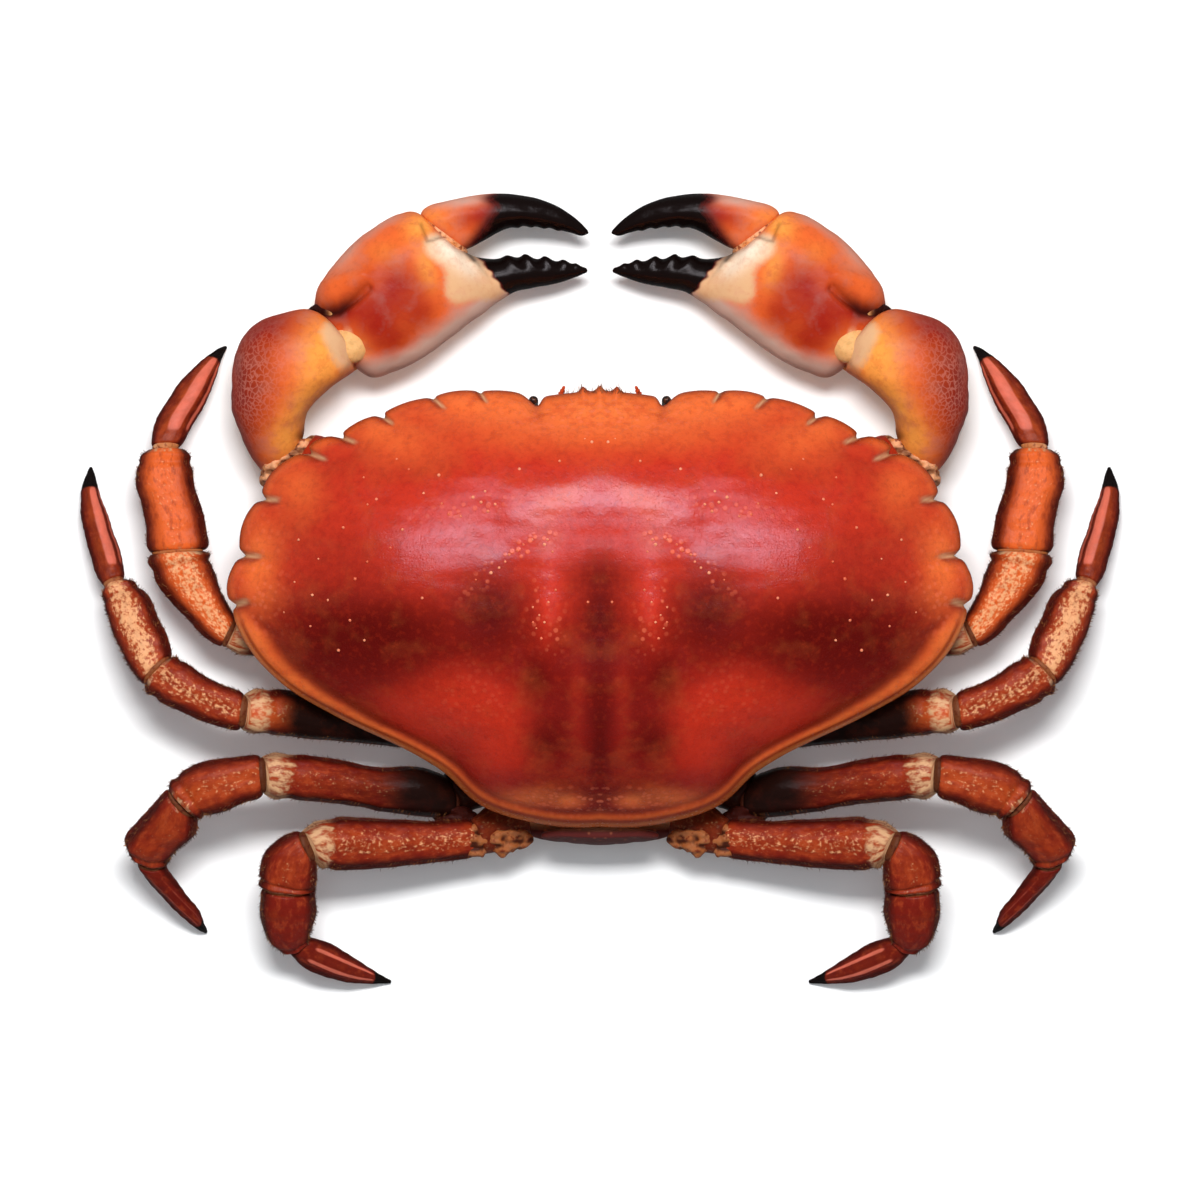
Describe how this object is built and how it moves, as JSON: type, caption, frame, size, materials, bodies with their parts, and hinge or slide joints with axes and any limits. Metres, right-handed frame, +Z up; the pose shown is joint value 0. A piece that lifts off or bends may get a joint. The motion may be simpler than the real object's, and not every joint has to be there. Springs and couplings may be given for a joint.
{
  "type": "cooked crab",
  "caption": "Whole cooked brown crab lying on its belly: an oval red shell with a crimped edge, black-tipped claws held in front and curled walking legs.",
  "frame": {"origin": "centre of the bounding box's bottom, on the plane the crab rests on", "axes": "+Y the way the crab faces, +X its right side, +Z up"},
  "size_m": [0.2408, 0.1828, 0.0585],
  "materials": {
    "carapace_shell": "glossy red shell",
    "claw_shell": "satin orange and red shell",
    "claw_finger": "polished black shell",
    "leg_shell": "rough red-brown shell",
    "belly_shell": "satin cream shell",
    "eye_bead": "glossy black bead"
  },
  "bodies": {
    "root": {"carapace": "carapace_shell", "sternum": "belly_shell", "tail_flap": "belly_shell", "mouth_plate_left": "belly_shell", "eye_left": "eye_bead", "antenna_left": "leg_shell", "claw_left_base": "claw_shell", "claw_left_merus": "claw_shell", "claw_left_carpus": "claw_shell", "claw_left_palm": "claw_shell", "claw_left_finger": "claw_finger", "leg_1_left_base": "leg_shell", "leg_1_left_merus": "leg_shell", "leg_1_left_carpus": "leg_shell", "leg_1_left_propodus": "leg_shell", "leg_1_left_dactyl": "leg_shell", "leg_2_left_base": "leg_shell", "leg_2_left_merus": "leg_shell", "leg_2_left_carpus": "leg_shell", "leg_2_left_propodus": "leg_shell", "leg_2_left_dactyl": "leg_shell", "leg_3_left_base": "leg_shell", "leg_3_left_merus": "leg_shell", "leg_3_left_carpus": "leg_shell", "leg_3_left_propodus": "leg_shell", "leg_3_left_dactyl": "leg_shell", "leg_4_left_base": "leg_shell", "leg_4_left_merus": "leg_shell", "leg_4_left_carpus": "leg_shell", "leg_4_left_propodus": "leg_shell", "leg_4_left_dactyl": "leg_shell", "mouth_plate_right": "belly_shell", "eye_right": "eye_bead", "antenna_right": "leg_shell", "claw_right_base": "claw_shell", "claw_right_merus": "claw_shell", "claw_right_carpus": "claw_shell", "claw_right_palm": "claw_shell", "claw_right_finger": "claw_finger", "leg_1_right_base": "leg_shell", "leg_1_right_merus": "leg_shell", "leg_1_right_carpus": "leg_shell", "leg_1_right_propodus": "leg_shell", "leg_1_right_dactyl": "leg_shell", "leg_2_right_base": "leg_shell", "leg_2_right_merus": "leg_shell", "leg_2_right_carpus": "leg_shell", "leg_2_right_propodus": "leg_shell", "leg_2_right_dactyl": "leg_shell", "leg_3_right_base": "leg_shell", "leg_3_right_merus": "leg_shell", "leg_3_right_carpus": "leg_shell", "leg_3_right_propodus": "leg_shell", "leg_3_right_dactyl": "leg_shell", "leg_4_right_base": "leg_shell", "leg_4_right_merus": "leg_shell", "leg_4_right_carpus": "leg_shell", "leg_4_right_propodus": "leg_shell", "leg_4_right_dactyl": "leg_shell"}
  },
  "joints": []
}
